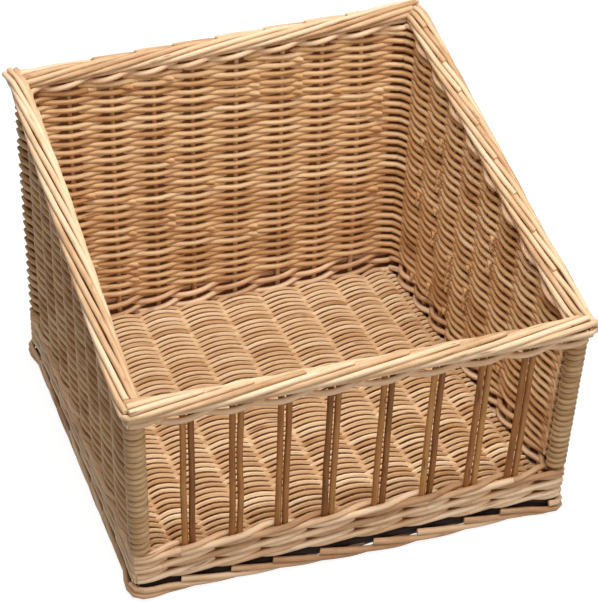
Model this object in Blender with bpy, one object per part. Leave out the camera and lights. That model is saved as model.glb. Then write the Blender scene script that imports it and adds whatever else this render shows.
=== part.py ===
"""Willow basket with a high back, sloping sides and a low front with a barred window.

The basket stands with its front towards -Y. The origin is on the ground, in the middle of the outer box.
Each band of weaving is a solid lofted along its wall through sections of its rods, and the posts, stakes and
bars run in bores through it. A wall's stakes are one piece with the border that their tops are woven into.
"""

import math

import bmesh
import bpy
from mathutils import Vector

# Centre lines of the corner posts, from the middle of the floor: on the ground, and at mid height of the border.
FRONT_FOOT_HALF_WIDTH = 0.2075
FRONT_FOOT_DEPTH = 0.2066
FRONT_TOP_HALF_WIDTH = 0.2137
FRONT_TOP_DEPTH = 0.2214
BACK_FOOT_HALF_WIDTH = 0.2050
BACK_FOOT_DEPTH = 0.2074
BACK_TOP_HALF_WIDTH = 0.2091
BACK_TOP_DEPTH = 0.2022

# Overall heights, to the top of the border. The back's right corner is woven higher than its left one.
FRONT_HEIGHT = 0.2322
BACK_LEFT_HEIGHT = 0.3442
BACK_RIGHT_HEIGHT = 0.3582

# Play between touching pieces, and the least wall of weaving left round a bore.
GAP = 0.0003
SKIN = 0.0008

# Border of bundled rods along the rim, turned down a little to the outside of the walls.
BORDER_WIDTH = 0.0232
BORDER_HEIGHT = 0.0190
BORDER_OFFSET = 0.0030
BORDER_ROD_COUNT = 8
BORDER_GROOVE_SHARE = 0.16
BORDER_SECTIONS_PER_STAKE = 2
RIM_CORNER_EASE = 0.0020

# Foot border that the basket stands on; its inner rods lie higher and carry the floor.
FOOT_HEIGHT = 0.0170
FOOT_OUTER = 0.0105
FOOT_INNER = 0.0145
LEDGE_HEIGHT = 0.0225
FOOT_SECTION_SHARES = (
    (0.70, 0.0),
    (1.00, 0.22),
    (0.80, 0.50),
    (1.00, 0.76),
    (0.75, 1.0),
)

# Waling: rounds of stout weaving above the foot, and one band under the border.
WALE_ROUND_HEIGHT = 0.0124
WALE_ROUND_COUNT = 3
UPPER_WALE_HEIGHT = 0.0090
UPPER_WALE_ROUND_COUNT = 2
WALE_ROD_RELIEF = 0.0007

# Siding: one crown of a panel stands for six thin rods of weaving, which cross halfway between the stakes.
SIDING_ROW_PITCH = 0.0300
SIDING_ROD_RELIEF = 0.0006
SIDING_CROSSING = 0.0030
SIDING_TOP_CLEARANCE = 0.0006

# Floor: one crown of the mat stands for eight thin rods of weaving.
FLOOR_THICKNESS = 0.0144
FLOOR_ROW_PITCH = 0.0265
FLOOR_ROD_RELIEF = 0.0006

# Upright and floor rods.
POST_DIAMETER = 0.0104
STAKE_DIAMETER = 0.0055
BAR_DIAMETER = 0.0063
BAR_SPACING = 0.0075
STICK_DIAMETER = 0.0070
ROUND_SIDES = 8
STAKE_SIDES = 8
BORE_OVERRUN = 0.0100

# Binding wound round each front post.
WRAP_TURNS = 23
WRAP_POINTS_PER_TURN = 8
WRAP_THICKNESS = 0.0034
WRAP_TURN_GAP = 0.0006

# Places of the uprights, as shares of each wall's length from its first corner.
BAR_PAIR_SHARES = (0.112, 0.221, 0.328, 0.439, 0.560, 0.676, 0.786, 0.888)
RIGHT_STAKE_SHARES = (0.131, 0.248, 0.359, 0.468, 0.575, 0.680, 0.784, 0.893)
BACK_STAKE_SHARES = (0.129, 0.234, 0.339, 0.460, 0.574, 0.674, 0.781, 0.888)
LEFT_STAKE_SHARES = (0.107, 0.216, 0.320, 0.425, 0.532, 0.641, 0.752, 0.869)
FLOOR_STICK_SHARES = (0.034, 0.105, 0.209, 0.314, 0.428, 0.547, 0.662, 0.770, 0.872, 0.956)

# Colour, roughness and metallic value of each sort of rod.
FINISHES = {
    "border_willow": ((0.80, 0.58, 0.33), 0.45, 0.0),
    "siding_willow": ((0.58, 0.36, 0.17), 0.50, 0.0),
    "floor_willow": ((0.68, 0.45, 0.23), 0.50, 0.0),
    "stick_willow": ((0.45, 0.28, 0.13), 0.55, 0.0),
    "wale_willow": ((0.62, 0.42, 0.22), 0.50, 0.0),
    "foot_willow": ((0.60, 0.40, 0.20), 0.55, 0.0),
    "post_willow": ((0.40, 0.26, 0.12), 0.55, 0.0),
    "wrap_willow": ((0.48, 0.36, 0.20), 0.45, 0.0),
    "bar_willow": ((0.30, 0.20, 0.10), 0.45, 0.0),
}

POST_BORE = POST_DIAMETER / 2 + GAP
STAKE_BORE = STAKE_DIAMETER / 2 + GAP
BAR_BORE = BAR_DIAMETER / 2 + GAP
BAND_VALLEY = POST_BORE + SKIN
BAND_CROWN = BAND_VALLEY + WALE_ROD_RELIEF
WALE_BOTTOM = FOOT_HEIGHT + GAP
WALE_TOP = WALE_BOTTOM + WALE_ROUND_COUNT * WALE_ROUND_HEIGHT
SIDING_BOTTOM = WALE_TOP + GAP
UPPER_WALE_DROP = BORDER_HEIGHT / 2 + GAP + UPPER_WALE_HEIGHT
FLOOR_MIDDLE = LEDGE_HEIGHT + GAP + FLOOR_THICKNESS / 2
UPRIGHT_TOP_DROP = BORDER_HEIGHT / 2 + GAP * 2
BORDER_STEPS = (len(BAR_PAIR_SHARES) + 1) * BORDER_SECTIONS_PER_STAKE
# The rim is level this far past each corner, so that the mitred bands meet at one height.
LEVEL_RUN = BORDER_WIDTH / 2 + GAP + RIM_CORNER_EASE
# The front border reaches furthest forward and the back foot furthest back; the origin lies midway.
CENTRE_SHIFT = (FRONT_TOP_DEPTH + BORDER_OFFSET + BORDER_WIDTH / 2 - BACK_FOOT_DEPTH - FOOT_OUTER) / 2


def post_ends(side, foot_half_width, foot_depth, top_half_width, top_depth, height):
    """The two ends of a corner post's centre line, on the ground and at mid height of the border."""
    foot = Vector((side * foot_half_width, foot_depth + CENTRE_SHIFT, 0))
    top = Vector((side * top_half_width, top_depth + CENTRE_SHIFT, height - BORDER_HEIGHT / 2))
    return foot, top


def corner_posts():
    """Every corner's centre line, by name."""
    front = (FRONT_FOOT_HALF_WIDTH, -FRONT_FOOT_DEPTH, FRONT_TOP_HALF_WIDTH, -FRONT_TOP_DEPTH, FRONT_HEIGHT)
    back = (BACK_FOOT_HALF_WIDTH, BACK_FOOT_DEPTH, BACK_TOP_HALF_WIDTH, BACK_TOP_DEPTH)
    return {
        "front_left": post_ends(-1, *front),
        "front_right": post_ends(1, *front),
        "back_right": post_ends(1, *back, BACK_RIGHT_HEIGHT),
        "back_left": post_ends(-1, *back, BACK_LEFT_HEIGHT),
    }


POSTS = corner_posts()

# The walls in order round the basket: first corner, last corner and outward direction.
WALLS = {
    "front": ("front_left", "front_right", Vector((0, -1, 0))),
    "right": ("front_right", "back_right", Vector((1, 0, 0))),
    "back": ("back_right", "back_left", Vector((0, 1, 0))),
    "left": ("back_left", "front_left", Vector((-1, 0, 0))),
}
STAKE_SHARES = {"right": RIGHT_STAKE_SHARES, "back": BACK_STAKE_SHARES, "left": LEFT_STAKE_SHARES}


def on_post(post, height):
    """The point of a corner's centre line at a height."""
    foot, top = POSTS[post]
    return foot.lerp(top, height / top.z)


def along(wall):
    """The direction in which a wall runs from its first corner."""
    outward = WALLS[wall][2]
    return Vector((-outward.y, outward.x, 0))


def wall_length(wall):
    """Length of a wall between its corners' centre lines, on the ground."""
    first, last, _ = WALLS[wall]
    return (POSTS[last][0] - POSTS[first][0]).length


def level_share(wall):
    """Share of a wall's length along which its rim is level past each corner."""
    first, last, _ = WALLS[wall]
    return LEVEL_RUN / (POSTS[last][1] - POSTS[first][1]).dot(along(wall))


def rim_height(wall, share):
    """Height of the border's centre line along a wall."""
    first, last, _ = WALLS[wall]
    start, end = POSTS[first][1].z, POSTS[last][1].z
    level = level_share(wall)
    climbed = min(max((share - level) / (1 - level * 2), 0), 1)
    return start + (end - start) * climbed


def wall_point(wall, share, offset, height):
    """A point at a share of a wall's length, a height, and an offset outwards from its middle surface."""
    first, last, outward = WALLS[wall]
    return on_post(first, height).lerp(on_post(last, height), share) + outward * offset


def mitre_point(wall, share, offset, height):
    """The like point on the mitre at a wall's first corner, share 0, or its last, share 1."""
    first, last, outward = WALLS[wall]
    inward = along(wall) if share == 0 else -along(wall)
    return on_post(last if share else first, height) + outward * offset + inward * (GAP - offset)


def material(name):
    """The finish of one sort of rod, made on first use."""
    found = bpy.data.materials.get(name)
    if found:
        return found
    colour, roughness, metallic = FINISHES[name]
    made = bpy.data.materials.new(name)
    made.use_nodes = True
    shader = made.node_tree.nodes["Principled BSDF"]
    shader.inputs["Base Color"].default_value = (*colour, 1.0)
    shader.inputs["Roughness"].default_value = roughness
    shader.inputs["Metallic"].default_value = metallic
    return made


def new_collection(name, parent):
    """A collection under another."""
    made = bpy.data.collections.new(name)
    parent.children.link(made)
    return made


def object_from(bm, name, collection, finish):
    """An object of a finished mesh, shaded smooth over its rods and sharp at its cut ends."""
    mesh = bpy.data.meshes.new(name)
    bm.to_mesh(mesh)
    bm.free()
    mesh.shade_smooth()
    mesh.set_sharp_from_angle(angle=math.radians(50))
    obj = bpy.data.objects.new(name, mesh)
    collection.objects.link(obj)
    if finish:
        mesh.materials.append(material(finish))
    else:
        obj.hide_render = True
        obj.display_type = "WIRE"
    return obj


def loft(name, sections, collection, finish, trim=None):
    """A closed solid through like sections, each a ring of points; trim is a plane that cuts off what is above it."""
    bm = bmesh.new()
    rings = [[bm.verts.new(point) for point in section] for section in sections]
    for near, far in zip(rings, rings[1:]):
        for index in range(len(near)):
            bm.faces.new((near[index - 1], near[index], far[index], far[index - 1]))
    bm.faces.new(rings[0])
    bm.faces.new(rings[-1])
    bmesh.ops.recalc_face_normals(bm, faces=bm.faces)
    bmesh.ops.triangulate(bm, faces=bm.faces)
    if trim:
        point, normal = trim
        parts = [*bm.verts, *bm.edges, *bm.faces]
        bmesh.ops.bisect_plane(bm, geom=parts, plane_co=point, plane_no=normal, clear_outer=True)
        bmesh.ops.holes_fill(bm, edges=[edge for edge in bm.edges if edge.is_boundary])
        bmesh.ops.triangulate(bm, faces=bm.faces)
        bmesh.ops.recalc_face_normals(bm, faces=bm.faces)
    return object_from(bm, name, collection, finish)


def rod(name, start, end, diameter, sides, collection, finish=None):
    """A straight round rod between two points; with no finish it is a hidden helper."""
    bm = bmesh.new()
    bmesh.ops.create_cone(
        bm,
        cap_ends=True,
        segments=sides,
        radius1=diameter / 2,
        radius2=diameter / 2,
        depth=(end - start).length,
    )
    obj = object_from(bm, name, collection, finish)
    obj.location = (start + end) / 2
    obj.rotation_euler = (end - start).to_track_quat("Z", "Y").to_euler()
    return obj


def boolean(obj, operation, helpers):
    """Cuts, or joins, a whole collection of helper rods."""
    modifier = obj.modifiers.new(operation.lower(), "BOOLEAN")
    modifier.operation = operation
    modifier.operand_type = "COLLECTION"
    modifier.collection = helpers


def ribbed_section(height, rounds):
    """A band's section, as (offset, rise) pairs: both faces swell over each round of rods."""
    step = height / rounds
    face = []
    for index in range(rounds):
        foot = index * step
        face += [(BAND_VALLEY, foot), (BAND_CROWN, foot + step / 3), (BAND_CROWN, foot + step * 2 / 3)]
    face.append((BAND_VALLEY, height))
    return face + [(-offset, rise) for offset, rise in reversed(face)]


def woven_section(low, high, pitch, bore, relief, proud, phase):
    """A woven panel's section at one upright: rows pass it in turn on the outer and the inner face."""
    rows = round((high - low) / pitch)
    step = (high - low) / rows
    valley = bore + SKIN

    def face(turn):
        points = []
        for row in range(rows):
            crown = proud if (row + phase + turn) % 2 == 0 else valley + relief
            points += [(valley, low + row * step), (crown, low + (row + 0.5) * step)]
        return points + [(valley, high)]

    return face(0) + [(-offset, rise) for offset, rise in reversed(face(1))]


def bundle_section(turned):
    """The border's section: a ring of rods laid round a core, turned by an angle along their lay."""
    points = []
    count = BORDER_ROD_COUNT * 2
    for index in range(count):
        size = 1 - BORDER_GROOVE_SHARE * (index % 2)
        angle = math.tau * index / count + turned
        offset = BORDER_OFFSET + BORDER_WIDTH / 2 * size * math.cos(angle)
        points.append((offset, BORDER_HEIGHT / 2 * size * math.sin(angle)))
    return points


def stations(wall, inner):
    """Shares of a wall's length at its mitres, at the ends of its level corners, and between them."""
    level = level_share(wall)
    return [0, level, *inner, 1 - level, 1]


def placed(wall, share, section, base):
    """A section stood across a wall, with its rises counted from a base height."""
    place = mitre_point if share in (0, 1) else wall_point
    return [place(wall, share, offset, base + rise) for offset, rise in section]


def uprights_of(wall):
    """Each upright of a wall between its posts, as (share, sideways shift)."""
    if wall != "front":
        return [(share, 0) for share in STAKE_SHARES[wall]]
    return [(share, side * BAR_SPACING / 2) for share in BAR_PAIR_SHARES for side in (-1, 1)]


def upright_line(wall, share, shift, low, high):
    """The centre line of an upright between two heights."""
    sideways = along(wall) * shift
    return wall_point(wall, share, 0, low) + sideways, wall_point(wall, share, 0, high) + sideways


def make_bores(cutters):
    """For each wall, a collection of cutters for its uprights and its two posts."""
    post_bores = {}
    for name in POSTS:
        low = on_post(name, WALE_BOTTOM - BORE_OVERRUN)
        high = on_post(name, POSTS[name][1].z + BORE_OVERRUN)
        post_bores[name] = rod(f"bore_post_{name}", low, high, POST_BORE * 2, ROUND_SIDES, cutters)
    bores = {}
    for wall, (first, last, _) in WALLS.items():
        bores[wall] = new_collection(f"bores_{wall}", cutters)
        radius = BAR_BORE if wall == "front" else STAKE_BORE
        sides = ROUND_SIDES if wall == "front" else STAKE_SIDES
        for index, (share, shift) in enumerate(uprights_of(wall), 1):
            top = rim_height(wall, share) + BORE_OVERRUN
            low, high = upright_line(wall, share, shift, WALE_BOTTOM - BORE_OVERRUN, top)
            rod(f"bore_{wall}_{index}", low, high, radius * 2, sides, bores[wall])
        for post in (first, last):
            bores[wall].objects.link(post_bores[post])
    return bores


def make_border(parts, cutters):
    """The border of each wall, with the stakes of that wall that are woven down into it."""
    for wall in WALLS:
        lay = math.tau / BORDER_ROD_COUNT / BORDER_SECTIONS_PER_STAKE
        sections = []
        for share in stations(wall, [step / BORDER_STEPS for step in range(1, BORDER_STEPS)]):
            section = bundle_section(share * BORDER_STEPS * lay)
            sections.append(placed(wall, share, section, rim_height(wall, share)))
        border = loft(f"border_{wall}", sections, parts, "border_willow")
        if wall == "front":
            continue
        stakes = new_collection(f"stakes_{wall}", cutters)
        for index, (share, shift) in enumerate(uprights_of(wall), 1):
            foot, head = upright_line(wall, share, shift, WALE_BOTTOM, rim_height(wall, share))
            rod(f"stake_{wall}_{index}", foot, head, STAKE_DIAMETER, STAKE_SIDES, stakes)
        boolean(border, "UNION", stakes)


def make_upper_wale(parts, bores):
    """The band of waling under each wall's border."""
    section = ribbed_section(UPPER_WALE_HEIGHT, UPPER_WALE_ROUND_COUNT)
    for wall in WALLS:
        shares = stations(wall, sorted({share for share, _ in uprights_of(wall)}))
        sections = [
            placed(wall, share, section, rim_height(wall, share) - UPPER_WALE_DROP) for share in shares
        ]
        boolean(loft(f"upper_wale_{wall}", sections, parts, "wale_willow"), "DIFFERENCE", bores[wall])


def make_wale(parts, bores):
    """The rounds of waling above the foot."""
    section = ribbed_section(WALE_ROUND_COUNT * WALE_ROUND_HEIGHT, WALE_ROUND_COUNT)
    for wall in WALLS:
        sections = [placed(wall, share, section, WALE_BOTTOM) for share in (0, 1)]
        boolean(loft(f"wale_{wall}", sections, parts, "wale_willow"), "DIFFERENCE", bores[wall])


def make_foot(parts):
    """The foot border, flat below, with two rods' crowns outside and a ledge for the floor inside."""
    section = [(offset * FOOT_OUTER, rise * FOOT_HEIGHT) for offset, rise in FOOT_SECTION_SHARES]
    ledge = BAND_CROWN + GAP
    section += [(-ledge, FOOT_HEIGHT), (-ledge, LEDGE_HEIGHT), (-FOOT_INNER, LEDGE_HEIGHT), (-FOOT_INNER, 0)]
    for wall in WALLS:
        sections = [placed(wall, share, section, 0) for share in (0, 1)]
        loft(f"foot_{wall}", sections, parts, "foot_willow")


def wrap_radius():
    """Radius of the binding's centre line, wide enough for its straight steps to clear the post."""
    return (POST_DIAMETER / 2 + GAP + WRAP_THICKNESS / 2) / math.cos(math.pi / WRAP_POINTS_PER_TURN)


def crossing_section(section):
    """A woven panel's section where its rods cross from face to face, as thin as one rod."""
    return [(math.copysign(SIDING_CROSSING, offset), rise) for offset, rise in section]


def siding_top(wall):
    """The plane along a panel's top, as a point and a normal, under the lowest edge of the band above it."""
    level = level_share(wall)
    ends = [wall_point(wall, share, 0, rim_height(wall, share) - UPPER_WALE_DROP) for share in (level, 1 - level)]
    normal = WALLS[wall][2].cross(ends[1] - ends[0]).normalized()
    if normal.z < 0:
        normal.negate()
    drops = [
        (wall_point(wall, share, offset, rim_height(wall, share) - UPPER_WALE_DROP) - ends[0]).dot(normal)
        for share in stations(wall, STAKE_SHARES[wall])
        if level <= share <= 1 - level
        for offset in (-BAND_CROWN, BAND_CROWN)
    ]
    return ends[0] + normal * (min(drops) - SIDING_TOP_CLEARANCE), normal


def make_siding(parts, bores):
    """The woven panels of the back and the two sides."""
    post_clearance = wrap_radius() + WRAP_THICKNESS / 2 + GAP
    for wall, stakes in STAKE_SHARES.items():
        first, last, _ = WALLS[wall]
        top = max(POSTS[first][1].z, POSTS[last][1].z) - UPPER_WALE_DROP - GAP
        weave = (SIDING_BOTTOM, top, SIDING_ROW_PITCH)
        edge_section = woven_section(*weave, POST_BORE, WALE_ROD_RELIEF, BAND_CROWN, 0)
        start = post_clearance / wall_length(wall) if first.startswith("front") else 0
        end = 1 - post_clearance / wall_length(wall) if last.startswith("front") else 1
        sections = [placed(wall, start, edge_section, 0)]
        for index, share in enumerate(stakes):
            section = woven_section(*weave, STAKE_BORE, SIDING_ROD_RELIEF, BAND_CROWN, index)
            if index:
                halfway = (stakes[index - 1] + share) / 2
                sections.append(placed(wall, halfway, crossing_section(section), 0))
            sections.append(placed(wall, share, section, 0))
        sections.append(placed(wall, end, edge_section, 0))
        panel = loft(f"siding_{wall}", sections, parts, "siding_willow", siding_top(wall))
        boolean(panel, "DIFFERENCE", bores[wall])


def floor_reach(wall):
    """Distance from a wall's corners' middle to the inner face of its waling, where it is least beside the floor."""
    outward = WALLS[wall][2]
    places = [(share, height) for share in (0, 1) for height in (WALE_BOTTOM, WALE_BOTTOM + FLOOR_THICKNESS)]
    return min(wall_point(wall, share, -BAND_CROWN, height).dot(outward) for share, height in places) - GAP


def make_floor(parts, cutters):
    """The floor: thick sticks from front to back, in a mat woven from side to side."""
    left, right = -floor_reach("left"), floor_reach("right")
    front, back = -floor_reach("front"), floor_reach("back")
    weave = (front, back, FLOOR_ROW_PITCH)
    bore = STICK_DIAMETER / 2 + GAP
    proud = FLOOR_THICKNESS / 2
    bores = new_collection("bores_floor", cutters)
    sections = []
    for index, share in enumerate((0, *FLOOR_STICK_SHARES, 1)):
        across = left + (right - left) * share
        edge = share in (0, 1)
        outer = bore + SKIN + FLOOR_ROD_RELIEF if edge else proud
        section = woven_section(*weave, bore, FLOOR_ROD_RELIEF, outer, index)
        sections.append([Vector((across, depth, FLOOR_MIDDLE + rise)) for rise, depth in section])
        if edge:
            continue
        start = Vector((across, front, FLOOR_MIDDLE))
        end = Vector((across, back, FLOOR_MIDDLE))
        overrun = Vector((0, BORE_OVERRUN, 0))
        rod(f"floor_stick_{index}", start, end, STICK_DIAMETER, STAKE_SIDES, parts, "stick_willow")
        rod(f"bore_floor_{index}", start - overrun, end + overrun, bore * 2, STAKE_SIDES, bores)
    boolean(loft("floor_mat", sections, parts, "floor_willow"), "DIFFERENCE", bores)


def make_posts(parts):
    """The four corner posts, from the foot to the border."""
    for name, (foot, top) in POSTS.items():
        lean = (top - foot).xy.length / top.z
        start = on_post(name, WALE_BOTTOM + POST_DIAMETER / 2 * lean)
        end = on_post(name, top.z - UPRIGHT_TOP_DROP - POST_DIAMETER / 2 * lean)
        rod(f"post_{name}", start, end, POST_DIAMETER, ROUND_SIDES, parts, "post_willow")


def make_bars(parts):
    """The pairs of upright bars across the front window."""
    for index, (share, shift) in enumerate(uprights_of("front")):
        side = "left" if index % 2 == 0 else "right"
        top = rim_height("front", share) - UPRIGHT_TOP_DROP
        start, end = upright_line("front", share, shift, WALE_BOTTOM, top)
        rod(f"bar_{index // 2 + 1}_{side}", start, end, BAR_DIAMETER, ROUND_SIDES, parts, "bar_willow")


def make_wraps(parts):
    """The close binding wound round each front post, between the two bands of waling."""
    low = SIDING_BOTTOM
    high = rim_height("front", 0) - UPPER_WALE_DROP - GAP
    for name in ("front_left", "front_right"):
        start, end = on_post(name, low), on_post(name, high)
        length = (end - start).length
        pitch = (length + WRAP_TURN_GAP) / (WRAP_TURNS + 1)
        width = pitch - WRAP_TURN_GAP
        flatness = width / WRAP_THICKNESS
        steps = WRAP_TURNS * WRAP_POINTS_PER_TURN
        points = []
        for step in range(steps + 1):
            angle = math.tau * step / WRAP_POINTS_PER_TURN
            rise = width / 2 + pitch * step / WRAP_POINTS_PER_TURN
            points.append(Vector((wrap_radius() * math.cos(angle), wrap_radius() * math.sin(angle), rise)))
        apart = min((b - a).length for a, b in zip(points, points[WRAP_POINTS_PER_TURN:]))
        print(f"wrap_{name}: least gap between turns {(apart - width) * 1000:.2f} mm")
        curve = bpy.data.curves.new(f"wrap_{name}", "CURVE")
        curve.dimensions = "3D"
        curve.bevel_depth = WRAP_THICKNESS / 2
        curve.bevel_resolution = 1
        curve.use_fill_caps = True
        spline = curve.splines.new("POLY")
        spline.points.add(steps)
        for slot, point in zip(spline.points, points):
            slot.co = (point.x, point.y, point.z / flatness, 1)
        curve.materials.append(material("wrap_willow"))
        obj = bpy.data.objects.new(f"wrap_{name}", curve)
        parts.objects.link(obj)
        obj.location = start
        obj.rotation_euler = (end - start).to_track_quat("Z", "Y").to_euler()
        obj.scale.z = flatness


def main():
    """Builds the whole basket."""
    for obj in list(bpy.data.objects):
        bpy.data.objects.remove(obj)
    root = bpy.context.scene.collection
    parts = new_collection("willow_basket", root)
    cutters = new_collection("cutters", root)
    bores = make_bores(cutters)
    make_foot(parts)
    make_floor(parts, cutters)
    make_wale(parts, bores)
    make_posts(parts)
    make_siding(parts, bores)
    make_bars(parts)
    make_wraps(parts)
    make_upper_wale(parts, bores)
    make_border(parts, cutters)


main()
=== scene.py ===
"""Looks of a willow basket with a high back, sloping sides and a low front with a barred window.

Each rod of willow is laid one by one along the walls of the fixed frame: the woven floor, the foot border,
the rounds of waling, the siding, the bound front posts, the window bars and the border along the rim.
Lengths are in metres. A place along a wall is counted in steps: one step from each upright to the next,
anticlockwise from the front left post.
"""

import functools
import logging
import math
from dataclasses import dataclass, field
from enum import Enum
from typing import NamedTuple

import bmesh
import bpy
import numpy as np
from mathutils import Matrix, Vector


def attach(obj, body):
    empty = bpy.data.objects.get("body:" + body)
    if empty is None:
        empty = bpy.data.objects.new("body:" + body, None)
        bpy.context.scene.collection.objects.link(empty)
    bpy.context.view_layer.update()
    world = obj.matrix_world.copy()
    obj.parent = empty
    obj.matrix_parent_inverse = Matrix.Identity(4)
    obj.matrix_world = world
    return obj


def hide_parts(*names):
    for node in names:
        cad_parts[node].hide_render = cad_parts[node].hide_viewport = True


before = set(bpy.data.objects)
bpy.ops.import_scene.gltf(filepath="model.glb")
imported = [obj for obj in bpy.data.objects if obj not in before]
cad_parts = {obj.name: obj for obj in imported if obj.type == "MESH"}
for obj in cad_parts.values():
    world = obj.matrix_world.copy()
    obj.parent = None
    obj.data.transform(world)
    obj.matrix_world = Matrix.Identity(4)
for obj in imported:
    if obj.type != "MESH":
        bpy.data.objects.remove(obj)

Array = np.ndarray
Two = tuple[float, float]
Three = tuple[float, float, float]

LOG = logging.getLogger("basket")

BODY = "root"
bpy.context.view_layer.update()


# Materials


@dataclass(frozen=True)
class Tone:
    """A colour as it shows on a screen, each part from 0 to 255."""

    red: float
    green: float
    blue: float

    def linear(self) -> tuple[float, float, float, float]:
        """The colour as a shader takes it."""
        parts = [part / 255 for part in (self.red, self.green, self.blue)]
        return (*[p / 12.92 if p <= 0.04045 else ((p + 0.055) / 1.055) ** 2.4 for p in parts], 1.0)


class Value:
    """A shader value that Python's operators work on."""

    def __init__(self, graph: "Graph", socket: bpy.types.NodeSocket) -> None:
        """Keeps the graph and the socket that gives the value."""
        self.graph = graph
        self.socket = socket

    def __add__(self, other: "Value | float") -> "Value":
        """This value plus another, with a number on either side."""
        return self.graph.maths("ADD", self, other)

    def __mul__(self, other: "Value | float") -> "Value":
        """This value times another, with a number on either side."""
        return self.graph.maths("MULTIPLY", self, other)

    def __sub__(self, other: "Value | float") -> "Value":
        """This value less another."""
        return self.graph.maths("SUBTRACT", self, other)

    def __rsub__(self, other: float) -> "Value":
        """A number less this value."""
        return self.graph.maths("SUBTRACT", other, self)

    __radd__ = __add__
    __rmul__ = __mul__


class Graph:
    """The node tree of one material, built node by node."""

    def __init__(self, name: str) -> None:
        """Makes a material with an empty tree.

        Args:
            name: the material's name.
        """
        self.material = bpy.data.materials.new(name)
        self.material.use_nodes = True
        self.tree = self.material.node_tree
        self.tree.nodes.clear()

    def node(self, kind: str, settings: dict | None = None, values: dict | None = None) -> bpy.types.Node:
        """Adds a node.

        Args:
            kind: the node's type.
            settings: what is set on the node first; "stops" are a ramp's places and colours.
            values: what goes to its inputs, by name or number: a Value is linked, anything else is set.

        Returns:
            The new node.
        """
        made = self.tree.nodes.new(kind)
        for name, setting in (settings or {}).items():
            if name != "stops":
                setattr(made, name, setting)
                continue
            elements = made.color_ramp.elements
            while len(elements) < len(setting):
                elements.new(0.5)
            for element, (place, colour) in zip(elements, setting):
                element.position = place
                element.color = colour
        for name, value in (values or {}).items():
            if isinstance(value, Value):
                self.tree.links.new(value.socket, made.inputs[name])
            else:
                made.inputs[name].default_value = value
        return made

    def output(self, made: bpy.types.Node, name: str | int = 0) -> Value:
        """One of a node's outputs, as a value."""
        return Value(self, made.outputs[name])

    def maths(self, operation: str, first: "Value | float", second: "Value | float" = 0.0) -> Value:
        """A Math node on one or two numbers.

        Args:
            operation: the node's operation.
            first: its first number.
            second: its second number.

        Returns:
            The result.
        """
        return self.output(self.node("ShaderNodeMath", {"operation": operation}, {0: first, 1: second}))

    def attribute(self, name: str, output: str) -> Value:
        """A value that the mesh carries at its points."""
        return self.output(self.node("ShaderNodeAttribute", {"attribute_name": name}), output)

    def stretched(self, lay: Value, grain: "Grain") -> Value:
        """The places along and across a rod, scaled for a pattern."""
        values = {0: lay, 1: (grain.along, grain.across, grain.across)}
        return self.output(self.node("ShaderNodeVectorMath", {"operation": "MULTIPLY"}, values))

    def noise(self, lay: Value, grain: "Grain") -> Value:
        """A noise pattern on a rod.

        Args:
            lay: the places along and across the rod.
            grain: how fine the pattern is.

        Returns:
            The pattern's values, from 0 to 1.
        """
        where = self.stretched(lay, grain)
        values = {"Vector": where, "Scale": 1.0, "Detail": grain.detail, "Roughness": grain.roughness}
        return self.output(self.node("ShaderNodeTexNoise", {"noise_dimensions": "3D"}, values), "Fac")

    def between(self, value: Value, limits: Two) -> Value:
        """A smooth rise as a value goes from one limit to another.

        Args:
            value: the value.
            limits: where the rise starts and where it ends.

        Returns:
            The rise, from 0 to 1.
        """
        values = {"Value": value, "From Min": limits[0], "From Max": limits[1]}
        settings = {"interpolation_type": "SMOOTHSTEP", "clamp": True}
        return self.output(self.node("ShaderNodeMapRange", settings, values))

    def mix(self, share: Value, first: "Value | tuple", second: "Value | tuple") -> Value:
        """A mix of two colours, where share says how much of the second there is."""
        settings = {"data_type": "RGBA", "blend_type": "MIX"}
        return self.output(self.node("ShaderNodeMix", settings, {0: share, 6: first, 7: second}), 2)

    def ramp(self, value: Value, stops: list[tuple[float, tuple]]) -> Value:
        """A colour read from a ramp."""
        return self.output(self.node("ShaderNodeValToRGB", {"stops": stops}, {"Fac": value}), "Color")


@dataclass(frozen=True)
class Grain:
    """A pattern that follows the rods."""

    along: float  # its scale along a rod
    across: float  # its scale across the rod
    strength: float = 1.0  # how much it changes the skin's shade
    ridge: float = 0.0  # how high it stands
    fade: Two = (0.0, 1.0)  # levels between which it fades in, or out
    detail: float = 2.0  # how many finer octaves it has
    roughness: float = 0.55  # how strong those are


STREAKS = Grain(14.0, 620.0, 0.55, 0.6, (0.35, 0.75), 3.0)
MOTTLING = Grain(32.0, 150.0, detail=4.0, roughness=0.6)
FIBRES = Grain(60.0, 2600.0, 0.16, 0.25)
BLEMISHES = Grain(46.0, 240.0, fade=(0.64, 0.78))
KNOTS = Grain(13.0, 130.0, 0.75, 0.8, (0.06, 0.17))


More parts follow.
